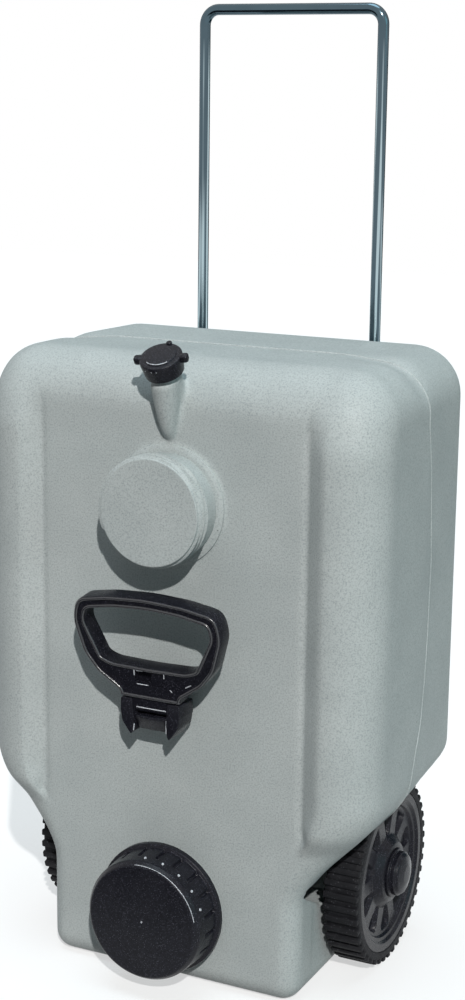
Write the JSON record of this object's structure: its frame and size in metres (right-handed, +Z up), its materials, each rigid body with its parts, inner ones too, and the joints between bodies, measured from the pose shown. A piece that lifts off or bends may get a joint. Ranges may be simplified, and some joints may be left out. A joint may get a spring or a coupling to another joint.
{
  "type": "wheeled water tank",
  "caption": "Upright moulded water tank on wheels with a pull-out handle, a screw-on drain cap, a vent spout and a hinged carry handle.",
  "frame": {"origin": "on the floor, under the middle of the whole object's footprint", "axes": "+X to the tank's right, +Y from the front panel to the back, +Z up"},
  "size_m": [0.38, 0.296, 0.85],
  "materials": {
    "tank_polyethylene": "satin, fine grain",
    "black_plastic": "moulded, fine sparkle grain",
    "black_rubber": "matt",
    "tyre_rubber": "matt, lugged tread",
    "bright_chrome": "bright",
    "zinc_steel": "zinc plated"
  },
  "bodies": {
    "tank": {"tank_shell": "tank_polyethylene", "axle_rod": "zinc_steel", "handle_bracket": "black_plastic", "hinge_pin": "zinc_steel", "wheel_spacer_left": "black_plastic", "push_nut_left": "zinc_steel", "tube_guide_upper_left": "black_plastic", "guide_screw_upper_left_inner": "zinc_steel", "guide_screw_upper_left_outer": "zinc_steel", "tube_guide_lower_left": "black_plastic", "guide_screw_lower_left_inner": "zinc_steel", "guide_screw_lower_left_outer": "zinc_steel", "wheel_spacer_right": "black_plastic", "push_nut_right": "zinc_steel", "tube_guide_upper_right": "black_plastic", "guide_screw_upper_right_inner": "zinc_steel", "guide_screw_upper_right_outer": "zinc_steel", "tube_guide_lower_right": "black_plastic", "guide_screw_lower_right_inner": "zinc_steel", "guide_screw_lower_right_outer": "zinc_steel"},
    "wheel_left": {"wheel_rim_left": "black_plastic", "tyre_left": "tyre_rubber", "hub_cap_left": "black_plastic"},
    "wheel_right": {"wheel_rim_right": "black_plastic", "tyre_right": "tyre_rubber", "hub_cap_right": "black_plastic"},
    "pull_handle": {"pull_handle": "bright_chrome", "tube_stop_left": "black_plastic", "tube_stop_right": "black_plastic"},
    "drain_seal": {"drain_gasket": "black_rubber"},
    "drain_cap": {"drain_cap": "black_plastic"},
    "vent_seal": {"vent_gasket": "black_rubber"},
    "vent_cap": {"vent_cap": "black_plastic"},
    "carry_handle": {"carry_handle": "black_plastic"}
  },
  "joints": [
    {"name": "wheel_left_spin", "type": "hinge", "parent": "tank", "child": "wheel_left", "pos_m": [-0.144, 0.0305, 0.084], "axis": [1, 0, 0], "continuous": true},
    {"name": "wheel_right_spin", "type": "hinge", "parent": "tank", "child": "wheel_right", "pos_m": [0.144, 0.0305, 0.084], "axis": [1, 0, 0], "continuous": true},
    {"name": "pull_handle_slide", "type": "slide", "parent": "tank", "child": "pull_handle", "axis": [0, 0, 1], "range_m": [-0.28, 0]},
    {"name": "drain_cap_travel", "type": "slide", "parent": "tank", "child": "drain_seal", "axis": [0, -1, 0], "range_m": [0, 0.012]},
    {"name": "drain_cap_turn", "type": "hinge", "parent": "drain_seal", "child": "drain_cap", "pos_m": [0, -0.1415, 0.074], "axis": [0, -1, 0], "range_deg": [0, 720]},
    {"name": "vent_cap_travel", "type": "slide", "parent": "tank", "child": "vent_seal", "axis": [0, -0.5, 0.866], "range_m": [0, 0.008]},
    {"name": "vent_cap_turn", "type": "hinge", "parent": "vent_seal", "child": "vent_cap", "pos_m": [0, -0.115, 0.5575], "axis": [0, -0.5, 0.866], "range_deg": [0, 720]},
    {"name": "carry_handle_fold", "type": "hinge", "parent": "tank", "child": "carry_handle", "pos_m": [0, -0.1255, 0.262], "axis": [1, 0, 0], "range_deg": [0, 85]}
  ],
  "couplings": [
    {"joint": "drain_cap_turn", "follows": "drain_cap_travel", "rad_per_m": 1047.2},
    {"joint": "vent_cap_turn", "follows": "vent_cap_travel", "rad_per_m": 1570.8}
  ]
}
